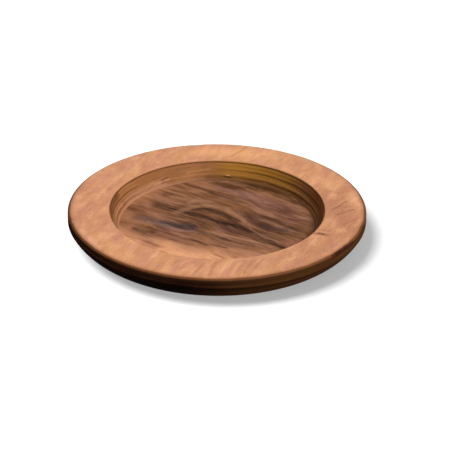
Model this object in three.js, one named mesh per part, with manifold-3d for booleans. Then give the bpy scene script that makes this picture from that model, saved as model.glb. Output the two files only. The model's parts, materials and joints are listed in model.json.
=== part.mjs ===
// A turned wooden offering plate: a broad flat rim round a shallow round well with a flat floor.
// It is glued up from boards and then turned. Edge-glued rim staves form the ring. Edge-glued base staves form
// the disc under it, with their grain crosswise to the ring's, so that the two panels hold each other flat.
// Millimetres, +Z up. The origin is the centre of the foot, on the surface that the plate stands on.
import * as THREE from "three";
import { mergeVertices } from "three/addons/utils/BufferGeometryUtils.js";
import Module from "manifold-3d";

// Overall sizes
const plateRadius = 152.4;
const ringThickness = 19.05;
const baseThickness = 12.7;
const rimWidth = 42.7;

// Outer side: a rounded top arris, an upright edge band, then a curve that runs under to the foot
const arrisWidth = 4;
const arrisDrop = 2;
const edgeBandHeight = 8;
const footInset = 30.5;
const bellyInset = 10.7;
const bellyHeight = 2.7;

// Well wall: a softened lip, a leaning upper wall, a narrow ledge, and a leaning toe down to the floor
const lipRound = 1.2;
const wallLean = 4.2;
const ledgeDepth = 12.2;
const ledgeWidth = 1.8;
const toeLean = 2;

// Staves: the direction of each panel's grain from +X, and where its joints lie
const rimGrainAngle = 67;
const baseGrainAngle = 142;
const throughStaveCount = 4;
const shoulderReach = 33.5;
const shoulderCover = 9;
const baseStaveCount = 8;
const glueLine = 0.3;
const turningAllowance = 6;

// Finishes
const rimFinish = { color: 0xcf9467, roughness: 0.5, metalness: 0 };
const baseFinish = { color: 0x7d5440, roughness: 0.55, metalness: 0 };

// Facets
const turnSegments = 72;
const curveSteps = 4;
const weldDistance = 1e-4;

const plateHeight = baseThickness + ringThickness;
const wellRadius = plateRadius - rimWidth;
const blankRadius = plateRadius + turningAllowance;
const wholeLength = [-blankRadius, blankRadius];

const wasm = await Module();
wasm.setup();

function solidOf(geometry) {
  geometry.deleteAttribute("normal");
  geometry.deleteAttribute("uv");
  const welded = mergeVertices(geometry, weldDistance);
  const mesh = new wasm.Mesh({
    numProp: 3,
    vertProperties: welded.attributes.position.array,
    triVerts: welded.index.array,
  });
  return new wasm.Manifold(mesh);
}

function geometryOf(solid) {
  const { vertProperties, triVerts } = solid.getMesh();
  const geometry = new THREE.BufferGeometry();
  geometry.setAttribute("position", new THREE.BufferAttribute(vertProperties, 3));
  geometry.setIndex(new THREE.BufferAttribute(triVerts, 1));
  geometry.computeVertexNormals();
  return geometry;
}

// Half of the plate's cross-section, from the axis at the foot round the rim to the axis at the well's floor.
function sectionPoints() {
  const edgeTop = plateHeight - arrisDrop;
  const ledgeHeight = plateHeight - ledgeDepth;
  const ledgeOuter = wellRadius - wallLean;
  const ledgeInner = ledgeOuter - ledgeWidth;
  const section = new THREE.Path();
  section.moveTo(0, 0);
  section.lineTo(plateRadius - footInset, 0);
  section.quadraticCurveTo(plateRadius - bellyInset, bellyHeight, plateRadius, edgeTop - edgeBandHeight);
  section.lineTo(plateRadius, edgeTop);
  section.absellipse(plateRadius - arrisWidth, edgeTop, arrisWidth, arrisDrop, 0, Math.PI / 2);
  section.lineTo(wellRadius + lipRound, plateHeight);
  section.absarc(wellRadius + lipRound, plateHeight - lipRound, lipRound, Math.PI / 2, Math.PI);
  section.lineTo(ledgeOuter, ledgeHeight);
  section.lineTo(ledgeInner, ledgeHeight);
  section.lineTo(ledgeInner - toeLean, baseThickness);
  section.lineTo(0, baseThickness);
  return section.getPoints(curveSteps);
}

// The whole plate as it comes off the lathe, which every stave is cut to.
function turnedPlate() {
  return solidOf(new THREE.LatheGeometry(sectionPoints(), turnSegments).rotateX(Math.PI / 2));
}

// A board before turning, between two joints across the grain and between two lengths along it.
function board(across, along, height) {
  const [left, right] = across;
  const [near, far] = along;
  const [low, high] = height;
  const box = new THREE.BoxGeometry(right - left - glueLine, far - near, high - low);
  return solidOf(box.translate((left + right) / 2, (near + far) / 2, (low + high) / 2));
}

// One stave as a mesh on its own centre line, placed across its panel.
function staveMesh(name, plate, across, along, height, finish) {
  const centre = (across[0] + across[1]) / 2;
  const geometry = geometryOf(plate.intersect(board(across, along, height)));
  const mesh = new THREE.Mesh(geometry.translate(-centre, 0, 0), new THREE.MeshStandardMaterial(finish));
  mesh.name = name;
  mesh.position.x = centre;
  return mesh;
}

// Joints of the ring, across its grain: edge staves clear of the well, shoulder staves that bend round its
// sides, and through staves that the well cuts in two.
function rimJoints() {
  const throughEdge = wellRadius - shoulderReach;
  const shoulderEdge = wellRadius + shoulderCover;
  const joints = [-blankRadius, -shoulderEdge];
  for (let i = 0; i <= throughStaveCount; i++) {
    joints.push(throughEdge * ((2 * i) / throughStaveCount - 1));
  }
  joints.push(shoulderEdge, blankRadius);
  return joints;
}

function baseJoints() {
  const joints = [-blankRadius];
  for (let i = 1; i < baseStaveCount; i++) {
    joints.push(plateRadius * ((2 * i) / baseStaveCount - 1));
  }
  joints.push(blankRadius);
  return joints;
}

// A panel is a group turned so that its local Y runs along the grain.
function panel(grainAngle) {
  const group = new THREE.Group();
  group.rotation.z = THREE.MathUtils.degToRad(grainAngle) - Math.PI / 2;
  return group;
}

function rimPanel(plate) {
  const group = panel(rimGrainAngle);
  const joints = rimJoints();
  const height = [baseThickness + glueLine, plateHeight];
  const halves = { front: [-blankRadius, 0], back: [0, blankRadius] };
  for (let i = 0; i + 1 < joints.length; i++) {
    const across = [joints[i], joints[i + 1]];
    const name = "rim_stave_" + (i + 1);
    const isCutThrough = Math.abs(across[0] + across[1]) / 2 < wellRadius - shoulderReach;
    if (isCutThrough) {
      for (const [half, along] of Object.entries(halves)) {
        group.add(staveMesh(name + "_" + half, plate, across, along, height, rimFinish));
      }
    } else {
      group.add(staveMesh(name, plate, across, wholeLength, height, rimFinish));
    }
  }
  return group;
}

function basePanel(plate) {
  const group = panel(baseGrainAngle);
  const joints = baseJoints();
  for (let i = 0; i + 1 < joints.length; i++) {
    const across = [joints[i], joints[i + 1]];
    const name = "base_stave_" + (i + 1);
    group.add(staveMesh(name, plate, across, wholeLength, [0, baseThickness], baseFinish));
  }
  return group;
}

const turned = turnedPlate();
const offeringPlate = new THREE.Group();
offeringPlate.name = "offering_plate";
offeringPlate.add(basePanel(turned), rimPanel(turned));

export default offeringPlate;
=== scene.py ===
"""The offering plate's looks: every glued-up stave as a finely turned piece with procedural wood, a pale
floor, soft daylight and the camera. Sizes are in metres, but in millimetres in the materials, where a name
ends in _mm and in the lists of joints. Angles are in degrees."""

import json
import math

import bmesh
import bpy
from mathutils import Matrix, Vector, noise

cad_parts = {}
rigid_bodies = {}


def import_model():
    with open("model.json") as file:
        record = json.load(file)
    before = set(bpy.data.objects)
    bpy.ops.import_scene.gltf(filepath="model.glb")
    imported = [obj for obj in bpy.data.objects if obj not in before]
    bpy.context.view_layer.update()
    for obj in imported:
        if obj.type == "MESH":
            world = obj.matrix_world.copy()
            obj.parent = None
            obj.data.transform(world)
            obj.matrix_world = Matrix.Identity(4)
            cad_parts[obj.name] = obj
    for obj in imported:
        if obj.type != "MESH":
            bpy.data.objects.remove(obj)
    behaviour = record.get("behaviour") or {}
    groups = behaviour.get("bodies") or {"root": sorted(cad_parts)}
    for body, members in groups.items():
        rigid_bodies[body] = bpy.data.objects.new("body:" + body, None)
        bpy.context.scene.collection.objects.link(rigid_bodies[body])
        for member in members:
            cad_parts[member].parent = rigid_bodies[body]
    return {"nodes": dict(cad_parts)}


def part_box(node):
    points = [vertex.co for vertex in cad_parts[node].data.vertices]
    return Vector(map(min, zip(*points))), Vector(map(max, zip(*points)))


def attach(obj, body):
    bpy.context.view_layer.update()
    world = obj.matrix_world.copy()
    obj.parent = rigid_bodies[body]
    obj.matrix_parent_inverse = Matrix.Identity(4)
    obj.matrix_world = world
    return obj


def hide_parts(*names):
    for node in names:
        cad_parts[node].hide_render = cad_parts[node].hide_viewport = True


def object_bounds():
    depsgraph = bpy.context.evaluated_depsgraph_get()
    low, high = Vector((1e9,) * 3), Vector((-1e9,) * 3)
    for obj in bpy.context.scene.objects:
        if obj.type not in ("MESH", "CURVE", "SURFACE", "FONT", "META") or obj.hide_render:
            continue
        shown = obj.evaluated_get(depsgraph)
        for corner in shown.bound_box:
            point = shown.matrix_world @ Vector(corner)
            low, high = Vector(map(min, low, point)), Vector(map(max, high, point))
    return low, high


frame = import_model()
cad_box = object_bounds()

MM = 0.001

# The form, as the CAD part has it
cad_high = Vector(cad_box[1])
PLATE_HEIGHT = cad_high.z
PLATE_RADIUS = cad_high.x
BASE_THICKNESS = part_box("base_stave_4")[1].z
RIM_WIDTH = 42.7 * MM
WELL_RADIUS = PLATE_RADIUS - RIM_WIDTH
ARRIS_WIDTH = 4 * MM
ARRIS_DROP = 2 * MM
EDGE_BAND_HEIGHT = 8 * MM
FOOT_INSET = 30.5 * MM
BELLY_INSET = 10.7 * MM
BELLY_HEIGHT = 2.7 * MM
LIP_ROUND = 1.2 * MM
WALL_LEAN = 4.2 * MM
LEDGE_DEPTH = 12.2 * MM
LEDGE_WIDTH = 1.8 * MM
TOE_LEAN = 2 * MM

# Each panel's grain from +X, and its joints across the grain in millimetres, as the CAD part has them
RIM_GRAIN = 67
BASE_GRAIN = 142
RIM_JOINTS = [-118.7, -76.2, -38.1, 0, 38.1, 76.2, 118.7]
BASE_JOINTS = [-114.3, -76.2, -38.1, 0, 38.1, 76.2, 114.3]

# What the turned pieces add to the form: tight glue joints, a hollow between the wall and the floor, and a
# ledge that rounds over, with its points given by how far in and how far down they are from its outer edge
SEAM = 0.06 * MM
COVE_REACH = 1.5 * MM
LEDGE_POINTS = [(0, 0), (0.6 * MM, 0.25 * MM), (1.4 * MM, 0.45 * MM), (LEDGE_WIDTH, 0.9 * MM)]

# The mesh: steps round the plate and up its side, and the angle under which an edge is shaded smooth
TURN_STEPS = 720
SIDE_STEPS = 48
WELD_DISTANCE = 1e-7
SMOOTH_ANGLE = 35
# How upright a face's normal is before the face counts as level
LEVEL = 0.9

# Wear: how far the edges are rubbed down, and how many waves the rubbing and the chips have to a radian
ARRIS_RUB = 0.35 * MM
LIP_RUB = 0.2 * MM
RUB_WAVES = 9
FINE_RUB_WAVES = 31
CHIP_WAVES = 70
# Chips in the rim's outer edge: angle, half-span in degrees, depth
CHIPS = [(-34.5, 6, 1.6 * MM), (-17, 3, 0.5 * MM), (-128, 4, 0.4 * MM), (98, 3, 0.4 * MM)]

# Places in each piece's list of materials: rim face or well's floor, well's wall, outer side
FACE, WALL, SIDE = 0, 1, 2

# Daylight from above, and what little of it comes back from below
DAYLIGHT = 0.35
DAYLIGHT_BELOW = 0.06
HORIZON_BLUR = 0.05

# Key lights: strength, angle that the light spans, and the direction that it comes from
PLATE_KEY = (3.5, 20, (0.53, -0.37, 0.77))
FLOOR_KEY = (6.2, 35, (-0.52, -0.19, 1))

# The floor is a dull grey that glows a little, so that it is white with a soft shadow on it
FLOOR_HALF = 6.0
FLOOR_GREY = 0.4
FLOOR_ROUGHNESS = 0.9
FLOOR_GLOW = 0.37

# The camera looks along +Y from in front
CAMERA_DISTANCE = 2.438
CAMERA_ELEVATION = 27.12
CAMERA_ROLL = 0.53
CAMERA_LENS = 187.8
SENSOR_WIDTH = 36
AIM_RIGHT = 12.3 * MM
AIM_DOWN = 21.7 * MM


# ---------------------------------------------------------------- shader arithmetic


class Field:
    """A number that varies over a surface: one output of a shader node, with arithmetic on it."""

    def __init__(self, tree, socket):
        self.tree = tree
        self.socket = socket

    def math(self, operation, *others):
        node = self.tree.nodes.new("ShaderNodeMath")
        node.operation = operation
        for slot, value in enumerate((self, *others)):
            if isinstance(value, Field):
                self.tree.links.new(value.socket, node.inputs[slot])
            else:
                node.inputs[slot].default_value = value
        return Field(self.tree, node.outputs[0])

    def __add__(self, other):
        return self.math("ADD", other)

    def __sub__(self, other):
        return self.math("SUBTRACT", other)

    def __mul__(self, other):
        return self.math("MULTIPLY", other)

    def __truediv__(self, other):
        return self.math("DIVIDE", other)

    def step(self, low, high):
        """0 up to low, then a smooth rise to 1 at high. With high under low it falls instead."""
        node = self.tree.nodes.new("ShaderNodeMapRange")
        node.interpolation_type = "SMOOTHSTEP"
        self.tree.links.new(self.socket, node.inputs["Value"])
        node.inputs["From Min"].default_value = min(low, high)
        node.inputs["From Max"].default_value = max(low, high)
        node.inputs["To Min"].default_value = 0 if low < high else 1
        node.inputs["To Max"].default_value = 1 if low < high else 0
        return Field(self.tree, node.outputs["Result"])


class Painter:
    """Builds one material's node tree. Places are in millimetres in the row frame."""

    def __init__(self, name):
        self.material = bpy.data.materials.new(name)
        self.material.use_nodes = True
        self.tree = self.material.node_tree
        self.shader = self.tree.nodes["Principled BSDF"]
        coordinates = self.tree.nodes.new("ShaderNodeTexCoord")
        self.place = self.vector("SCALE", coordinates.outputs["Object"], scale=1 / MM)

    def vector(self, operation, a, b=None, scale=None):
        node = self.tree.nodes.new("ShaderNodeVectorMath")
        node.operation = operation
        for slot, value in enumerate((a, b)):
            if value is None:
                continue
            if isinstance(value, bpy.types.NodeSocket):
                self.tree.links.new(value, node.inputs[slot])
            else:
                node.inputs[slot].default_value = value
        if scale is not None:
            node.inputs["Scale"].default_value = scale
        measured = operation in ("DOT_PRODUCT", "LENGTH", "DISTANCE")
        return node.outputs["Value" if measured else "Vector"]

    def dot(self, place, direction):
        return Field(self.tree, self.vector("DOT_PRODUCT", place, direction))

    def combine(self, x, y, z):
        node = self.tree.nodes.new("ShaderNodeCombineXYZ")
        for slot, value in enumerate((x, y, z)):
            if isinstance(value, Field):
                self.tree.links.new(value.socket, node.inputs[slot])
            else:
                node.inputs[slot].default_value = value
        return node.outputs[0]

    def noise(self, place, scale=1.0, detail=3.0, roughness=0.5):
        node = self.tree.nodes.new("ShaderNodeTexNoise")
        self.tree.links.new(place, node.inputs["Vector"])
        node.inputs["Scale"].default_value = scale
        node.inputs["Detail"].default_value = detail
        node.inputs["Roughness"].default_value = roughness
        return Field(self.tree, node.outputs["Fac"])

    def constant_steps(self, value, edges, levels):
        """Hard steps over a value from 0 to 1: levels[0] below edges[0], then one level after each edge."""
        node = self.tree.nodes.new("ShaderNodeValToRGB")
        ramp = node.color_ramp
        ramp.interpolation = "CONSTANT"
        ramp.elements[0].color = (*levels[0], 1)
        ramp.elements[1].position = edges[0]
        ramp.elements[1].color = (*levels[1], 1)
        for edge, level in zip(edges[1:], levels[2:]):
            ramp.elements.new(edge).color = (*level, 1)
        self.tree.links.new(value.socket, node.inputs["Fac"])
        return node.outputs["Color"]

    def mix(self, share, a, b, mode="MIX"):
        """Colour a turned into colour b by the share."""
        node = self.tree.nodes.new("ShaderNodeMix")
        node.data_type = "RGBA"
        node.blend_type = mode
        node.clamp_factor = True
        if isinstance(share, Field):
            self.tree.links.new(share.socket, node.inputs[0])
        else:
            node.inputs[0].default_value = share
        for slot, value in ((6, a), (7, b)):
            if isinstance(value, bpy.types.NodeSocket):
                self.tree.links.new(value, node.inputs[slot])
            else:
                node.inputs[slot].default_value = (*value, 1)
        return node.outputs[2]

    def layer(self, colour, pattern, start, full, strength, shade):
        """Lays on a screen colour: none where the pattern is at start, its strength where it is at full."""
        return self.mix(pattern.step(start, full) * strength, colour, srgb(*shade))

    def stain(self, colour, pattern, start, full, strength, shade):
        """As layer does, but multiplies by the screen colour, which keeps what is under it in view."""
        return self.mix(pattern.step(start, full) * strength, colour, srgb(*shade), "MULTIPLY")

    def bump(self, height, strength, distance_mm, under=None):
        node = self.tree.nodes.new("ShaderNodeBump")
        node.inputs["Strength"].default_value = strength
        node.inputs["Distance"].default_value = distance_mm * MM
        self.tree.links.new(height.socket, node.inputs["Height"])
        if under is not None:
            self.tree.links.new(under, node.inputs["Normal"])
        return node.outputs["Normal"]

    def marks(self, colour, place, marks, breakup):
        """Lays soft-edged strokes over a colour. The breakup, which is about 1, makes them ragged."""
        for points, width, shade, strength in marks:
            share = None
            for start, end in zip(points, points[1:]):
                node = self.tree.nodes.new("ShaderNodeGroup")
                node.node_tree = stroke_group()
                self.tree.links.new(place, node.inputs["Place"])
                node.inputs["Start"].default_value = (*start, 0)
                node.inputs["Reach"].default_value = (end[0] - start[0], end[1] - start[1], 0)
                node.inputs["Width"].default_value = width
                part = Field(self.tree, node.outputs["Share"])
                share = part if share is None else share.math("MAXIMUM", part)
            colour = self.mix(share * strength * breakup, colour, srgb(*shade))
        return colour

    def finish(self, colour, roughness, normal):
        self.tree.links.new(colour, self.shader.inputs["Base Color"])
        self.tree.links.new(roughness.socket, self.shader.inputs["Roughness"])
        self.tree.links.new(normal, self.shader.inputs["Normal"])
        return self.material


def stroke_group():
    """A node group: 1 on the stroke from Start along Reach, falling smoothly to 0 at Width from it."""
    if "stroke" in bpy.data.node_groups:
        return bpy.data.node_groups["stroke"]
    tree = bpy.data.node_groups.new("stroke", "ShaderNodeTree")
    for name in ("Place", "Start", "Reach"):
        tree.interface.new_socket(name, in_out="INPUT", socket_type="NodeSocketVector")
    tree.interface.new_socket("Width", in_out="INPUT", socket_type="NodeSocketFloat")
    tree.interface.new_socket("Share", in_out="OUTPUT", socket_type="NodeSocketFloat")
    given = tree.nodes.new("NodeGroupInput").outputs
    result = tree.nodes.new("NodeGroupOutput").inputs

    def vector(operation, a, b):
        node = tree.nodes.new("ShaderNodeVectorMath")
        node.operation = operation
        tree.links.new(a, node.inputs[0])
        tree.links.new(b, node.inputs[1])
        return node.outputs["Value" if operation in ("DOT_PRODUCT", "DISTANCE") else "Vector"]

    away = vector("SUBTRACT", given["Place"], given["Start"])
    part = Field(tree, vector("DOT_PRODUCT", away, given["Reach"]))
    whole = Field(tree, vector("DOT_PRODUCT", given["Reach"], given["Reach"]))
    share = (part / whole).math("MAXIMUM", 0.0).math("MINIMUM", 1.0)
    nearest = tree.nodes.new("ShaderNodeVectorMath")
    nearest.operation = "SCALE"
    tree.links.new(given["Reach"], nearest.inputs[0])
    tree.links.new(share.socket, nearest.inputs["Scale"])
    distance = Field(tree, vector("DISTANCE", away, nearest.outputs["Vector"]))
    tree.links.new((distance / Field(tree, given["Width"])).step(1.0, 0.0).socket, result["Share"])
    return tree


def srgb(red, green, blue):
    """A linear colour from 0 to 255 screen values."""
    shares = [value / 255 for value in (red, green, blue)]
    return tuple(((share + 0.055) / 1.055) ** 2.4 if share > 0.04045 else share / 12.92 for share in shares)


def wood_fields(paint, grain, joints, boards, sway_mm, shift_mm):
    """The patterns that every board shows: fibres, pores, streaks and blotches. Each board has three numbers
    of its own: its tone, and how far its pattern is shifted across and along the grain."""
    turn = math.radians(grain)
    across = paint.dot(paint.place, (math.sin(turn), -math.cos(turn), 0))
    along = paint.dot(paint.place, (math.cos(turn), math.sin(turn), 0))
    height = paint.dot(paint.place, (0, 0, 1))
    diameter_mm = 2 * PLATE_RADIUS / MM
    edges = [joint / diameter_mm + 0.5 for joint in joints]
    board = paint.constant_steps(across / diameter_mm + 0.5, edges, boards)
    plan = paint.combine(across, along, 0.0)
    sway = (paint.noise(plan, scale=0.012, detail=1.5) - 0.5) * (2 * sway_mm)
    x = across + sway + paint.dot(board, (0, 1, 0)) * shift_mm
    y = along + paint.dot(board, (0, 0, 1)) * shift_mm * 8

    def pattern(waves_across, waves_along, detail, roughness):
        """Noise drawn out along the grain, with so many waves to the millimetre across it and along it."""
        place = paint.combine(x * waves_across, y * waves_along, height * waves_across)
        return paint.noise(place, detail=detail, roughness=roughness)

    return {
        "swayed": x,
        "across": across,
        "along": along,
        "plan": plan,
        "drop": height * -1 + PLATE_HEIGHT / MM,
        "tone": paint.dot(board, (1, 0, 0)),
        "fibre": pattern(1.3, 0.06, detail=4, roughness=0.6),
        "streak": pattern(0.2, 0.018, detail=4, roughness=0.55),
        "blotch": pattern(0.045, 0.022, detail=3, roughness=0.55),
        "mottle": pattern(0.3, 0.12, detail=5, roughness=0.62),
        "pores": pattern(0.9, 0.2, detail=2, roughness=0.5),
    }


# ---------------------------------------------------------------- materials


# Marks, laid on in order over the boards' own grain, with painted shade and painted light among them where
# noted. Each is a soft-edged stroke: the points that it runs through (right and back of the plate's centre)
# and its half-width in millimetres, its screen colour, and how strongly it shows.
FLOOR_STAINS_AND_SHADE = [
    # Dark across the back right: partly painted shade, the wall's shadow on the floor
    ([(-30, 50), (70, 0)], 52, (100, 63, 37), 0.75),
    ([(-45, 5), (40, -18)], 26, (92, 57, 33), 0.80),
    ([(-72, 35), (-86, -5)], 18, (150, 100, 72), 0.60),
    ([(-106, -16), (-74, -58)], 26, (196, 136, 98), 0.85),
    ([(-86, -34), (-46, -48)], 18, (200, 140, 102), 0.80),
    ([(-66, -64), (26, -84)], 36, (224, 160, 116), 1.00),
    ([(10, -64), (66, -66)], 18, (164, 110, 80), 0.60),
    ([(-55, 90), (-92, 45)], 14, (164, 110, 76), 0.60),
    # Dark at the right: partly painted shade, the right wall's shadow on the floor
    ([(44, 14), (74, -14)], 22, (80, 50, 34), 0.80),
    ([(4, 98), (58, 84), (100, 36)], 21, (68, 41, 18), 0.92),
    ([(62, 70), (96, 30)], 12, (96, 60, 30), 0.60),
    ([(16, 70), (78, 36)], 13, (122, 84, 72), 0.60),
    ([(0, -36), (58, -44)], 12, (134, 90, 72), 0.50),
]
FLOOR_STREAKS = [
    ([(-62, 41), (-28, 24), (8, 2), (44, -23), (68, -52)], 13, (74, 44, 25), 0.82),
    ([(-46, 33), (-8, 11), (8, 2), (26, -10), (44, -22)], 5.4, (48, 26, 12), 1.00),
    ([(42, -21), (56, -38), (66, -52)], 3.0, (58, 31, 18), 0.80),
    ([(38, -32), (50, -41), (68, -51)], 2.4, (44, 20, 10), 0.90),
    ([(-80, 14), (-60, 4), (-30, -7)], 14, (96, 69, 60), 0.75),
    ([(-54, 1), (-42, -4), (-26, -8)], 7.5, (58, 43, 43), 0.85),
    ([(-70, 1), (-58, -3), (-48, -8)], 5.0, (124, 98, 92), 0.55),
    ([(-48, -11), (-32, -15), (-10, -22)], 3.5, (150, 112, 94), 0.55),
    ([(-82, -10), (-72, -17), (-64, -18)], 6.5, (84, 54, 34), 0.85),
    ([(-71, -8), (-56, -17), (-39, -26)], 2.2, (70, 36, 20), 0.85),
    ([(-24, -13), (-6, -24), (10, -33)], 5.0, (86, 54, 34), 0.75),
    ([(6, -31), (22, -40), (38, -46)], 4.0, (84, 52, 34), 0.75),
    ([(-26, -33), (-8, -44), (12, -53)], 2.6, (88, 50, 32), 0.85),
    ([(-24, 34), (-12, 34), (-2, 30), (12, 20), (22, 8)], 7.5, (64, 38, 20), 0.92),
    ([(-42, 26), (-27, 37), (-12, 43), (0, 43), (12, 35), (19, 22), (27, 5)], 6.5, (160, 114, 84), 0.50),
    ([(-46, 60), (-20, 56), (-6, 50)], 9.0, (160, 112, 80), 0.45),
    ([(-4, 62), (14, 48), (30, 32)], 6.0, (128, 80, 42), 0.55),
    ([(-30, 48), (-22, 56), (-8, 52)], 4.0, (158, 112, 84), 0.60),
    ([(-36, 97), (-22, 84), (-6, 72)], 4.4, (90, 56, 36), 0.75),
    ([(-8, 71), (8, 60), (24, 48)], 5.0, (76, 46, 26), 0.80),
    ([(2, 62), (30, 44), (56, 26)], 3.0, (148, 104, 84), 0.45),
    ([(0, 83), (22, 74), (44, 63)], 6.0, (124, 86, 80), 0.65),
    ([(48, -2), (58, -8), (72, -12)], 10, (62, 42, 38), 0.80),
    ([(-62, 22), (-48, 16), (-32, 8)], 4.0, (148, 104, 80), 0.60),
    ([(-4, -18), (20, -30), (44, -40)], 2.4, (172, 122, 96), 0.60),
    ([(34, -8), (50, -26), (62, -40)], 2.4, (150, 106, 86), 0.50),
]
RIM_STAINS_AND_SHEEN = [
    # Painted sheen: lighter orange across the back of the rim
    ([(-24, 133), (50, 126)], 20, (224, 162, 112), 0.85),
    ([(118, 30), (130, -40)], 28, (174, 118, 88), 0.85),
    ([(30, -128), (100, -92)], 22, (188, 132, 97), 0.60),
    ([(84, -104), (122, -58)], 22, (178, 122, 90), 0.55),
    ([(-146, 24), (-130, -20)], 18, (196, 134, 107), 0.60),
    ([(-126, -56), (-84, -112)], 16, (210, 150, 104), 0.65),
    ([(-118, 66), (-94, 92)], 16, (196, 138, 110), 0.50),
    # Painted highlight near the rim's front left edge
    ([(-136, -52), (-120, -84)], 7, (222, 164, 130), 0.70),
    ([(-60, 128), (-30, 136)], 9, (196, 134, 98), 0.50),
    ([(-40, -130), (-14, -126)], 8, (186, 126, 98), 0.50),
    ([(138, 34), (144, 10)], 6, (212, 154, 116), 0.50),
    ([(102, 20), (110, -6)], 6, (204, 146, 108), 0.50),
    ([(66, -112), (84, -100)], 6, (206, 150, 110), 0.50),
]
RIM_STREAKS = [
    ([(102, -47), (112, -50)], 3.5, (158, 106, 76), 0.65),
    ([(100, -56), (110, -59)], 6.0, (150, 100, 72), 0.70),
    ([(103, -56), (107, -58)], 3.0, (96, 58, 40), 0.85),
    ([(106, -94), (118, -80)], 5.0, (168, 120, 102), 0.60),
    ([(118, -4), (126, 6), (133, 17)], 1.7, (140, 90, 62), 0.75),
    ([(126, 4), (131, 1), (136, 6)], 1.3, (150, 98, 70), 0.60),
    ([(122, -14), (140, -2)], 2.6, (156, 102, 76), 0.65),
    ([(128, -36), (143, -20)], 2.6, (158, 104, 78), 0.60),
    ([(-22, -142), (-12, -120)], 2.6, (170, 114, 84), 0.60),
    ([(-8, -142), (0, -117)], 3.4, (168, 112, 82), 0.70),
    ([(2, -144), (12, -117)], 1.8, (222, 164, 120), 0.75),
    ([(14, -143), (24, -118)], 3.4, (220, 160, 114), 0.65),
    ([(27, -138), (36, -113)], 2.4, (166, 110, 82), 0.60),
    ([(38, -130), (45, -110)], 2.2, (172, 116, 86), 0.60),
    ([(-44, -124), (-38, -112)], 1.8, (170, 114, 86), 0.50),
    ([(14, 118), (22, 130)], 2.4, (172, 110, 74), 0.60),
    ([(24, 132), (30, 144)], 3.0, (180, 116, 72), 0.60),
    ([(66, 110), (74, 122)], 2.2, (176, 116, 82), 0.50),
    ([(94, 86), (102, 98)], 5, (182, 124, 94), 0.60),
]
RIM_EDGE_STREAKS = [
    ([(113, -101), (125, -87), (136, -69)], 1.8, (60, 22, 12), 0.90),
    ([(118, -96), (124, -88), (130, -79)], 3.4, (52, 18, 10), 0.95),
    ([(146, -42), (148, -36)], 1.6, (70, 36, 20), 0.60),
]
# On the wall a place is the distance round it from the back, clockwise seen from above, and the depth below
# the rim
WALL_STAINS = [
    ([(26, 6), (76, 8)], 44, (172, 117, 38), 0.95),
    ([(140, 4), (200, 12)], 36, (136, 74, 14), 0.90),
    ([(-64, 15), (-126, 16)], 6.5, (166, 113, 82), 0.90),
    ([(-138, 3), (-190, 6)], 8, (96, 58, 30), 0.88),
    ([(-136, 14), (-190, 14)], 3.5, (168, 116, 82), 0.75),
    ([(-10, 17), (112, 18)], 8, (106, 64, 24), 0.70),
    ([(130, 17), (190, 17)], 3.5, (174, 114, 54), 0.85),
]
WALL_STREAKS = [
    ([(8, 15.4), (15, 16.2)], 1.5, (66, 32, 16), 0.90),
    ([(10, 14.0), (14, 14.2)], 0.8, (214, 160, 120), 0.70),
    ([(-56, 11.4), (-61, 12.2), (-66, 12.8)], 1.0, (98, 60, 36), 0.80),
    ([(-62, 14.5), (-66, 15.5)], 1.2, (100, 62, 38), 0.70),
    ([(-72, 14.2), (-86, 15.5)], 0.9, (112, 70, 44), 0.60),
    ([(-68, 13.6), (-76, 14.4)], 0.7, (206, 150, 112), 0.60),
    ([(-56, 13.2), (-60, 13.6)], 0.7, (206, 150, 112), 0.50),
    ([(-30, 5), (-48, 6.5)], 2.0, (126, 80, 46), 0.60),
    ([(-8, 9), (-34, 10)], 1.6, (184, 130, 80), 0.50),
]
# Dark lines round the wall: depth below the rim, half-width and strength
# The first, just under the lip, and the last, low on the wall above the floor, are painted shade; the others
# are turned lines
WALL_LINES = [(1.7, 0.8, 0.85), (5.2, 1.0, 0.35), (9.4, 1.5, 0.75), (12.4, 0.7, 0.45), (15.7, 1.5, 0.75)]


def rim_fields(paint):
    """The patterns of the ring's staves, with each stave's three numbers listed."""
    boards = [
        (0.45, 0.31, 0.10),
        (0.55, 0.62, 0.83),
        (0.40, 0.18, 0.37),
        (0.62, 0.77, 0.56),
        (0.50, 0.42, 0.91),
        (0.46, 0.90, 0.22),
        (0.38, 0.12, 0.68),
        (0.44, 0.55, 0.45),
    ]
    return wood_fields(paint, RIM_GRAIN, RIM_JOINTS, boards, sway_mm=5, shift_mm=60)


def base_fields(paint):
    """The patterns of the base's staves, which nearly run through from stave to stave."""
    boards = [(0.45 + 0.04 * (i % 3), 0.37 * i % 1, 0.61 * i % 1) for i in range(len(BASE_JOINTS) + 1)]
    return wood_fields(paint, BASE_GRAIN, BASE_JOINTS, boards, sway_mm=16, shift_mm=1.5)


def swayed_plan(paint, wood, grain, sway_mm, ragged_mm):
    """The place seen from above, swaying gently, and ragged along the grain as torn fibres are."""
    drift = paint.tree.nodes.new("ShaderNodeTexNoise")
    drift.inputs["Scale"].default_value = 0.03
    drift.inputs["Detail"].default_value = 2
    paint.tree.links.new(paint.place, drift.inputs["Vector"])
    centred = paint.vector("SUBTRACT", drift.outputs["Color"], (0.5, 0.5, 0.5))
    moved = paint.vector("ADD", paint.place, paint.vector("SCALE", centred, scale=2 * sway_mm))
    turn = math.radians(grain)
    pull = (wood["fibre"] - 0.5) * (2 * ragged_mm)
    moved = paint.vector("ADD", moved, paint.combine(pull * math.cos(turn), pull * math.sin(turn), 0.0))
    return paint.vector("MULTIPLY", moved, (1, 1, 0))


def painted_shade_front_left(paint):
    """Painted shade on the outer side: 1 at the front left, falling to 0 at the front right and the back."""
    return paint.dot(paint.place, (-0.64, -0.77, 0)).step(80, 140)


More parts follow.
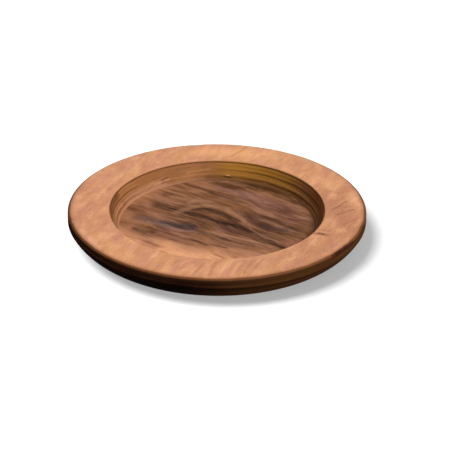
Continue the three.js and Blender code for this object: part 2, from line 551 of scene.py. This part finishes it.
def edge_shades(paint, wood, colour):
    """Darkens a colour over the worn top edge, most at the front: brown on the rounding, dark brown below.
    The darkening is partly the edge's own colour and partly painted shade.
    """
    flat_radius = (PLATE_RADIUS - ARRIS_WIDTH) / MM
    radius = Field(paint.tree, paint.vector("LENGTH", wood["plan"]))
    wear = (paint.noise(wood["plan"], scale=0.07, detail=5, roughness=0.6) - 0.5) * 2.6
    # How far past the flat rim a place is, outwards and down, give or take the wear
    over = radius - flat_radius + wood["drop"] + wear
    # Stronger towards the front: partly wear, partly painted shade
    front_wear_and_shade = paint.dot(paint.place, (0.1, -1, 0)).step(-130, 10)
    colour = paint.mix(over.step(-3.4, 1.2) * front_wear_and_shade * 0.60, colour, srgb(152, 99, 66))
    colour = paint.mix(over.step(0.4, 2.8) * (front_wear_and_shade * 0.85 + 0.15), colour, srgb(104, 61, 30))
    # Below the edge, dark brown, with painted shade at the front left
    under = paint.mix(painted_shade_front_left(paint), srgb(74, 42, 17), srgb(58, 33, 17))
    return paint.mix(over.step(3.4, 6.4) * (front_wear_and_shade * 0.6 + 0.4), colour, under)


def rim_face():
    """The flat rim and its rounded edge: light orange-tan, mottled pinkish and golden, with fine flecks."""
    paint = Painter("rim_face")
    wood = rim_fields(paint)
    colour = paint.mix(wood["blotch"].step(0.38, 0.62), srgb(196, 136, 106), srgb(204, 147, 103))
    colour = paint.layer(colour, wood["tone"], 0.35, 0.65, strength=0.25, shade=(188, 126, 90))
    place = swayed_plan(paint, wood, RIM_GRAIN, sway_mm=3, ragged_mm=2)
    # Stains, with a painted sheen at the back of the rim and a painted highlight near its front left edge
    colour = paint.marks(colour, place, RIM_STAINS_AND_SHEEN, wood["mottle"] * 0.8 + 0.6)
    # Soft darker and lighter patches, a few centimetres long
    patch_place = paint.combine(wood["across"] * 0.08, wood["along"] * 0.036, 0.0)
    patches = paint.noise(patch_place, detail=4, roughness=0.60)
    colour = paint.layer(colour, patches, 0.50, 0.66, strength=0.62, shade=(180, 122, 92))
    colour = paint.layer(colour, patches, 0.50, 0.34, strength=0.62, shade=(220, 162, 119))
    # Finer streaks and mottling, then the marks that are drawn by hand, fibres and pores
    colour = paint.layer(colour, wood["streak"], 0.53, 0.68, strength=0.22, shade=(168, 110, 80))
    colour = paint.layer(colour, wood["streak"], 0.46, 0.32, strength=0.22, shade=(226, 170, 130))
    colour = paint.layer(colour, wood["mottle"], 0.54, 0.70, strength=0.28, shade=(168, 110, 80))
    colour = paint.marks(colour, place, RIM_STREAKS, wood["mottle"] + 0.5)
    colour = paint.stain(colour, wood["fibre"], 0.54, 0.72, strength=0.18, shade=(160, 104, 74))
    colour = paint.stain(colour, wood["pores"], 0.66, 0.74, strength=0.45, shade=(120, 74, 50))
    colour = edge_shades(paint, wood, colour)
    colour = paint.marks(colour, place, RIM_EDGE_STREAKS, wood["mottle"] + 0.6)
    return finished(paint, wood, colour, roughness=0.42, gloss=0.10)


def well_wall():
    """The well's wall: golden at the back right, darker at the right, brown over tan at the left, with dark
    lines round it, some turned and some painted shade."""
    paint = Painter("well_wall")
    wood = rim_fields(paint)
    right = paint.dot(paint.place, (1, 0, 0))
    back = paint.dot(paint.place, (0, 1, 0))
    round_mm = right.math("ARCTAN2", back) * (WELL_RADIUS / MM)
    wobble = (paint.noise(wood["plan"], scale=0.025, detail=3) - 0.5) * 2.2
    level = wood["drop"] + wobble
    unrolled = paint.combine(round_mm, level, 0.0)
    grain = paint.noise(paint.combine(round_mm * 0.06, level * 0.9, 0.0), detail=4, roughness=0.6)
    drift = paint.noise(wood["plan"], scale=0.03, detail=2)
    colour = paint.mix(drift.step(0.35, 0.65), srgb(154, 100, 58), srgb(140, 89, 48))
    colour = paint.marks(colour, unrolled, WALL_STAINS, wood["mottle"] * 0.4 + 0.8)
    # The dark lines, turned and painted shade, are clear at the right and at the far left, and faint in
    # between
    clarity = right.step(-30, 75) * 0.85 + right.step(-66, -100) * 0.60 + 0.15
    for depth, width, strength in WALL_LINES:
        ring_line_and_shade = ((level - depth).math("ABSOLUTE") / width).step(1.0, 0.2)
        colour = paint.mix(ring_line_and_shade * clarity * strength, colour, srgb(52, 27, 5))
    # A dark line just under the lip: partly a dark glaze, partly painted shade
    lip_glaze_and_shade = (wood["drop"] - 1.5).math("ABSOLUTE")
    colour = paint.layer(colour, lip_glaze_and_shade, 0.9, 0.3, strength=0.7, shade=(76, 42, 20))
    colour = paint.marks(colour, unrolled, WALL_STREAKS, wood["mottle"] + 0.5)
    colour = paint.layer(colour, grain, 0.52, 0.72, strength=0.40, shade=(104, 64, 30))
    colour = paint.layer(colour, grain, 0.46, 0.28, strength=0.25, shade=(196, 144, 90))
    # The lip takes the rim's colour, and the wall's foot the floor's, darker at the right partly with painted
    # shade
    colour = paint.layer(colour, wood["drop"], 0.9, 0.2, strength=0.8, shade=(186, 130, 92))
    floor_tone_and_shade = paint.mix(right.step(-90, 10), srgb(160, 108, 78), srgb(92, 60, 38))
    colour = paint.mix(wood["drop"].step(16.8, 18.8) * 0.9, colour, floor_tone_and_shade)
    return finished(paint, wood, colour, roughness=0.45, gloss=0.2)


def outer_side(name, fields):
    """The outer side and underside: dark brown, with thin level lines of brown, maroon and near black. A
    lighter brown at the front right is painted light, and near black at the front left is painted shade.
    """
    paint = Painter(name)
    wood = fields(paint)
    wobble = (paint.noise(wood["plan"], scale=0.015, detail=3) - 0.5) * 5.0
    level = wood["drop"] + wobble
    lines = paint.noise(paint.combine(level * 0.5, wood["across"] * 0.006, wood["along"] * 0.006), detail=4)
    colour = paint.mix(wood["blotch"].step(0.35, 0.65), srgb(84, 51, 23), srgb(68, 33, 20))
    left = paint.dot(paint.place, (-1, 0, 0)).step(-40, 90)
    right = paint.dot(paint.place, (0.8, -0.6, 0)).step(60, 145)
    # Painted light: a lighter brown towards the front right
    colour = paint.mix(right * 0.6, colour, srgb(94, 58, 27))
    # Painted shade: near black towards the front left
    colour = paint.mix(painted_shade_front_left(paint) * 0.65, colour, srgb(26, 10, 8))
    # The lines show most at the left, and least at the front right
    dark_lines = lines.step(0.48, 0.56) * (left * 0.40 + 0.5) * (right * -0.5 + 1)
    light_lines = lines.step(0.47, 0.40) * (left * 0.34 + 0.03)
    colour = paint.mix(dark_lines, colour, srgb(22, 8, 7))
    colour = paint.mix(light_lines, colour, srgb(132, 70, 40))
    # Low on the side the wood is brown, but for painted shade, near black, at the front left
    under = paint.mix(painted_shade_front_left(paint), srgb(156, 94, 54), srgb(18, 7, 6))
    colour = paint.mix(level.step(10, 18) * 0.85, colour, under)
    colour = paint.stain(colour, wood["fibre"], 0.50, 0.72, strength=0.30, shade=(150, 96, 70))
    # The top of the side carries on the rim's worn edge, with its painted shade
    upper = edge_shades(paint, wood, colour)
    place = swayed_plan(paint, wood, RIM_GRAIN, sway_mm=3, ragged_mm=2)
    upper = paint.marks(upper, place, RIM_EDGE_STREAKS, wood["mottle"] + 0.6)
    colour = paint.mix(wood["drop"].step(6.0, 2.0), colour, upper)
    return finished(paint, wood, colour, roughness=0.5, gloss=0.05)


def well_floor():
    """The well's floor: tan at the front, dark brown and mauve across the middle, with long dark streaks."""
    paint = Painter("well_floor")
    wood = base_fields(paint)
    colour = paint.mix(wood["blotch"].step(0.35, 0.65), srgb(142, 95, 64), srgb(124, 81, 54))
    place = swayed_plan(paint, wood, BASE_GRAIN, sway_mm=6, ragged_mm=7)
    # Stains and patches, partly painted shade at the back right and the right
    colour = paint.marks(colour, place, FLOOR_STAINS_AND_SHADE, wood["streak"] * 0.8 + 0.6)
    stroke_place = paint.combine(wood["swayed"] * 0.09, wood["along"] * 0.02, 0.0)
    strokes = paint.noise(stroke_place, detail=3, roughness=0.5)
    mauve = paint.noise(wood["plan"], scale=0.022, detail=2)
    # Mauve clouds and long strokes of grain, then the marks that are drawn by hand, streaks and fibres
    colour = paint.layer(colour, mauve, 0.48, 0.64, strength=0.40, shade=(126, 84, 76))
    colour = paint.stain(colour, strokes, 0.50, 0.66, strength=0.52, shade=(140, 90, 58))
    colour = paint.layer(colour, strokes, 0.50, 0.36, strength=0.36, shade=(182, 128, 96))
    colour = paint.marks(colour, place, FLOOR_STREAKS, wood["streak"] + 0.5)
    colour = paint.stain(colour, wood["streak"], 0.53, 0.70, strength=0.30, shade=(120, 76, 50))
    colour = paint.layer(colour, wood["streak"], 0.46, 0.30, strength=0.22, shade=(192, 140, 112))
    colour = paint.stain(colour, wood["mottle"], 0.53, 0.72, strength=0.22, shade=(120, 78, 54))
    colour = paint.layer(colour, wood["fibre"], 0.46, 0.30, strength=0.26, shade=(200, 148, 112))
    colour = paint.stain(colour, wood["fibre"], 0.54, 0.70, strength=0.26, shade=(120, 76, 48))
    return finished(paint, wood, colour, roughness=0.42, gloss=0.08)


def finished(paint, wood, colour, roughness, gloss):
    """Finishes a wood material: its roughness varies with the mottling, and fine fibres lie on an uneven
    surface."""
    paint.shader.inputs["Specular IOR Level"].default_value = gloss
    fibres = paint.bump(wood["fibre"], strength=0.35, distance_mm=0.12)
    normal = paint.bump(wood["mottle"], strength=0.5, distance_mm=0.5, under=fibres)
    return paint.finish(colour, wood["mottle"] * 0.25 + roughness, normal)


# ---------------------------------------------------------------- turned staves


def arc(centre, radii, start, end, steps):
    """Points of a part of an ellipse, both ends included."""
    points = []
    for i in range(steps + 1):
        turn = math.radians(start + (end - start) * i / steps)
        points.append((centre[0] + radii[0] * math.cos(turn), centre[1] + radii[1] * math.sin(turn)))
    return points


def line(start, end, steps):
    """Points from start up to, but not including, end."""
    return [
        (start[0] + (end[0] - start[0]) * i / steps, start[1] + (end[1] - start[1]) * i / steps)
        for i in range(steps)
    ]


def bend(start, corner, end, steps):
    """Points of a smooth bend from start to end that heads for the corner, both ends included."""
    points = []
    for i in range(steps + 1):
        t = i / steps
        weights = ((1 - t) ** 2, 2 * t * (1 - t), t * t)
        points.append(tuple(sum(w * p[k] for w, p in zip(weights, (start, corner, end))) for k in (0, 1)))
    return points


def split_side():
    """The outer side from the foot's edge up to the edge band, in two: the base's stretch, which ends at the
    panels' joint, and the ring's, which starts a seam higher."""
    foot = (PLATE_RADIUS - FOOT_INSET, 0)
    belly = (PLATE_RADIUS - BELLY_INSET, BELLY_HEIGHT)
    band = (PLATE_RADIUS, PLATE_HEIGHT - ARRIS_DROP - EDGE_BAND_HEIGHT)
    points = bend(foot, belly, band, SIDE_STEPS)
    low = [p for p in points if p[1] < BASE_THICKNESS - SEAM]
    high = [p for p in points if p[1] > BASE_THICKNESS + SEAM]
    before, after = low[-1], high[0]
    share = (BASE_THICKNESS - before[1]) / (after[1] - before[1])
    radius = before[0] + (after[0] - before[0]) * share
    return low + [(radius, BASE_THICKNESS)], [(radius, BASE_THICKNESS + SEAM)] + high


def ring_section():
    """The ring's cross-section, once round: up the side, over the rim, down the wall and back underneath."""
    edge_top = PLATE_HEIGHT - ARRIS_DROP
    ledge_outer = WELL_RADIUS - WALL_LEAN
    ledge_inner = ledge_outer - LEDGE_WIDTH
    ledge = PLATE_HEIGHT - LEDGE_DEPTH
    bottom = BASE_THICKNESS + SEAM
    toe = (ledge_inner - TOE_LEAN - COVE_REACH, bottom)
    lip = (WELL_RADIUS + LIP_ROUND, PLATE_HEIGHT - LIP_ROUND)
    points = split_side()[1]
    points += line(points[-1], (PLATE_RADIUS, edge_top), steps=6)[1:]
    points += arc((PLATE_RADIUS - ARRIS_WIDTH, edge_top), (ARRIS_WIDTH, ARRIS_DROP), 0, 90, steps=10)
    points += line(points[-1], (lip[0], PLATE_HEIGHT), steps=14)[1:]
    points += arc(lip, (LIP_ROUND, LIP_ROUND), 90, 180, steps=6)
    points += line(points[-1], (ledge_outer, ledge), steps=10)[1:]
    points += [(ledge_outer - inward, ledge - down) for inward, down in LEDGE_POINTS]
    points += bend(points[-1], (ledge_inner - TOE_LEAN, bottom), toe, steps=8)[1:]
    points += line(toe, points[0], steps=4)[1:]
    return points


def base_section():
    """The base's cross-section from the axis underneath, round the side, to the axis on the well's floor."""
    side = split_side()[0]
    points = line((0, 0), side[0], steps=6) + side
    points += line(side[-1], (0, BASE_THICKNESS), steps=10)[1:]
    return points + [(0, BASE_THICKNESS)]


def worn(r, turn, z):
    """Where use has moved a point of the turned surface: softly rubbed edges, and chips in the outer one."""
    place = Vector((math.cos(turn), math.sin(turn), 0))
    rub = 0.5 + 0.5 * noise.noise(place * RUB_WAVES) + 0.3 * noise.noise(place * FINE_RUB_WAVES)
    outward = max(0, (r - (PLATE_RADIUS - ARRIS_WIDTH)) / ARRIS_WIDTH)
    upward = max(0, 1 - (PLATE_HEIGHT - z) / EDGE_BAND_HEIGHT)
    at_arris = outward * upward
    near_lip = max(0, 1 - abs(r - WELL_RADIUS - 0.5 * LIP_ROUND) / LIP_ROUND)
    at_lip = near_lip * (z > PLATE_HEIGHT - 2 * LIP_ROUND)
    z -= rub * (at_arris * ARRIS_RUB + at_lip * LIP_RUB)
    r -= rub * at_arris * ARRIS_RUB * 0.5
    for chip_angle, chip_span, chip_depth in CHIPS:
        away = (math.degrees(turn) - chip_angle + 180) % 360 - 180
        share = max(0, 1 - (away / chip_span) ** 2) * (0.75 + 0.5 * noise.noise(place * CHIP_WAVES))
        z -= share * chip_depth * at_arris
        r -= share * chip_depth * at_arris * 0.8
    return r, z


def turned(section, closed):
    """A bmesh of the section turned round the axis."""
    shape = bmesh.new()
    columns = []
    for i in range(TURN_STEPS):
        turn = 2 * math.pi * i / TURN_STEPS
        points = [worn(r, turn, z) for r, z in section]
        columns.append([shape.verts.new((r * math.cos(turn), r * math.sin(turn), z)) for r, z in points])
    rows = len(section) if closed else len(section) - 1
    for i in range(TURN_STEPS):
        here, there = columns[i], columns[(i + 1) % TURN_STEPS]
        for j in range(rows):
            k = (j + 1) % len(section)
            shape.faces.new((here[j], there[j], there[k], here[k]))
    bmesh.ops.remove_doubles(shape, verts=shape.verts[:], dist=WELD_DISTANCE)
    bmesh.ops.recalc_face_normals(shape, faces=shape.faces[:])
    return shape


def keep_side(shape, distance, direction):
    """Cuts the shape at a distance along the direction and keeps what is beyond. The face that closes the cut
    takes the outer side's material."""
    everything = shape.verts[:] + shape.edges[:] + shape.faces[:]
    cut = bmesh.ops.bisect_plane(
        shape,
        geom=everything,
        dist=WELD_DISTANCE,
        plane_co=direction * distance,
        plane_no=direction,
        clear_inner=True,
    )["geom_cut"]
    edges = [e for e in cut if isinstance(e, bmesh.types.BMEdge)]
    if edges:
        for face in bmesh.ops.holes_fill(shape, edges=edges, sides=0)["faces"]:
            face.material_index = SIDE


def surface_of(face):
    """Which material a face of the turned panel takes, from where it is."""
    centre = face.calc_center_median()
    radius = math.hypot(centre.x, centre.y)
    if centre.z < BASE_THICKNESS + SEAM / 2:
        return FACE if face.normal.z > LEVEL else SIDE
    if radius < WELL_RADIUS + LIP_ROUND:
        return WALL if face.normal.z > -LEVEL else SIDE
    return FACE if centre.z > PLATE_HEIGHT - ARRIS_DROP else SIDE


def stave_piece(node, whole, grain, across, half, materials):
    """One stave cut from the turned panel, as an object that stands for its CAD node. Half is -1 for a front
    half, 1 for a back half, and 0 for a whole stave."""
    name = "turned_" + node
    turn = math.radians(grain)
    sideways = Vector((math.sin(turn), -math.cos(turn), 0))
    lengthways = Vector((math.cos(turn), math.sin(turn), 0))
    shape = whole.copy()
    for face in shape.faces:
        face.material_index = surface_of(face)
    if across[0] is not None:
        keep_side(shape, across[0] + SEAM / 2, sideways)
    if across[1] is not None:
        keep_side(shape, -(across[1] - SEAM / 2), -sideways)
    if half:
        keep_side(shape, 0, lengthways * half)
    for face in shape.faces:
        face.smooth = True
    for edge in shape.edges:
        edge.smooth = len(edge.link_faces) != 2 or edge.calc_face_angle() < math.radians(SMOOTH_ANGLE)
    mesh = bpy.data.meshes.new(name)
    shape.to_mesh(mesh)
    shape.free()
    for material in materials:
        mesh.materials.append(material)
    piece = bpy.data.objects.new(name, mesh)
    bpy.context.scene.collection.objects.link(piece)
    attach(piece, "root")
    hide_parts(node)
    return piece


def spans(joints_mm):
    """The stretch across the grain of each stave. The outer staves have no joint on their outer side."""
    edges = [None] + [j * MM for j in joints_mm] + [None]
    return list(zip(edges, edges[1:]))


def rim_staves(materials):
    whole = turned(ring_section(), closed=True)
    for i, across in enumerate(spans(RIM_JOINTS), start=1):
        node = f"rim_stave_{i}"
        halves = {"_front": -1, "_back": 1} if node + "_front" in frame["nodes"] else {"": 0}
        for ending, half in halves.items():
            piece = stave_piece(node + ending, whole, RIM_GRAIN, across, half, materials)
    whole.free()


def base_staves(materials):
    whole = turned(base_section(), closed=False)
    for i, across in enumerate(spans(BASE_JOINTS), start=1):
        piece = stave_piece(f"base_stave_{i}", whole, BASE_GRAIN, across, 0, materials)
    whole.free()


# ---------------------------------------------------------------- surroundings


def add_camera():
    data = bpy.data.cameras.new("camera")
    data.lens = CAMERA_LENS
    data.sensor_width = SENSOR_WIDTH
    camera = bpy.data.objects.new("camera", data)
    bpy.context.scene.collection.objects.link(camera)
    tilt = math.radians(CAMERA_ELEVATION)
    away = Vector((0, -math.cos(tilt), math.sin(tilt)))
    right = Vector((1, 0, 0))
    up = away.cross(right)
    centre = Vector((0, 0, PLATE_HEIGHT))
    place = centre + away * CAMERA_DISTANCE
    aim = centre + right * AIM_RIGHT - up * AIM_DOWN
    look = (aim - place).to_track_quat("-Z", "Y")
    roll = Matrix.Rotation(math.radians(CAMERA_ROLL), 4, "Z")
    camera.matrix_world = Matrix.Translation(place) @ look.to_matrix().to_4x4() @ roll
    bpy.context.scene.camera = camera


def add_floor():
    """A wide pale floor. It bounces no light onto the plate, whose outer side stays dark over it."""
    mesh = bpy.data.meshes.new("floor")
    corners = [(FLOOR_HALF * x, FLOOR_HALF * y, 0) for x, y in ((-1, -1), (1, -1), (1, 1), (-1, 1))]
    mesh.from_pydata(corners, [], [(0, 1, 2, 3)])
    material = bpy.data.materials.new("floor_paint")
    material.use_nodes = True
    shader = material.node_tree.nodes["Principled BSDF"]
    shader.inputs["Base Color"].default_value = (FLOOR_GREY, FLOOR_GREY, FLOOR_GREY, 1)
    shader.inputs["Roughness"].default_value = FLOOR_ROUGHNESS
    shader.inputs["Emission Color"].default_value = (1, 1, 1, 1)
    shader.inputs["Emission Strength"].default_value = FLOOR_GLOW
    mesh.materials.append(material)
    floor = bpy.data.objects.new("floor", mesh)
    bpy.context.scene.collection.objects.link(floor)
    floor.visible_diffuse = False
    floor.visible_glossy = False
    return floor


def add_sun(name, settings, lit):
    """A soft distant light that lights only the given objects."""
    energy, softness, towards_light = settings
    data = bpy.data.lights.new(name, "SUN")
    data.energy = energy
    data.angle = math.radians(softness)
    sun = bpy.data.objects.new(name, data)
    bpy.context.scene.collection.objects.link(sun)
    sun.matrix_world = Vector(towards_light).to_track_quat("Z", "Y").to_matrix().to_4x4()
    receivers = bpy.data.collections.new(name + "_receivers")
    for piece in lit:
        receivers.objects.link(piece)
    sun.light_linking.receiver_collection = receivers


def add_light(floor, pieces):
    """Even daylight, a key light on the plate from the front right, and one on the floor from high at the
    left, which casts the plate's shadow to the right."""
    world = bpy.data.worlds.new("daylight")
    world.use_nodes = True
    nodes, links = world.node_tree.nodes, world.node_tree.links
    background = nodes["Background"]
    background.inputs["Color"].default_value = (1, 1, 1, 1)
    parts = nodes.new("ShaderNodeSeparateXYZ")
    links.new(nodes.new("ShaderNodeTexCoord").outputs["Generated"], parts.inputs[0])
    above = Field(world.node_tree, parts.outputs["Z"]).step(-HORIZON_BLUR, HORIZON_BLUR)
    daylight = above * (DAYLIGHT - DAYLIGHT_BELOW) + DAYLIGHT_BELOW
    links.new(daylight.socket, background.inputs["Strength"])
    bpy.context.scene.world = world
    add_sun("plate_key", PLATE_KEY, pieces)
    add_sun("floor_key", FLOOR_KEY, [floor])
    bpy.context.scene.view_settings.view_transform = "Standard"


add_camera()
wall = well_wall()
rim_staves([rim_face(), wall, outer_side("outer_side", rim_fields)])
base_staves([well_floor(), wall, outer_side("underside", base_fields)])
add_light(add_floor(), [piece for piece in bpy.data.objects if piece.name.startswith("turned_")])
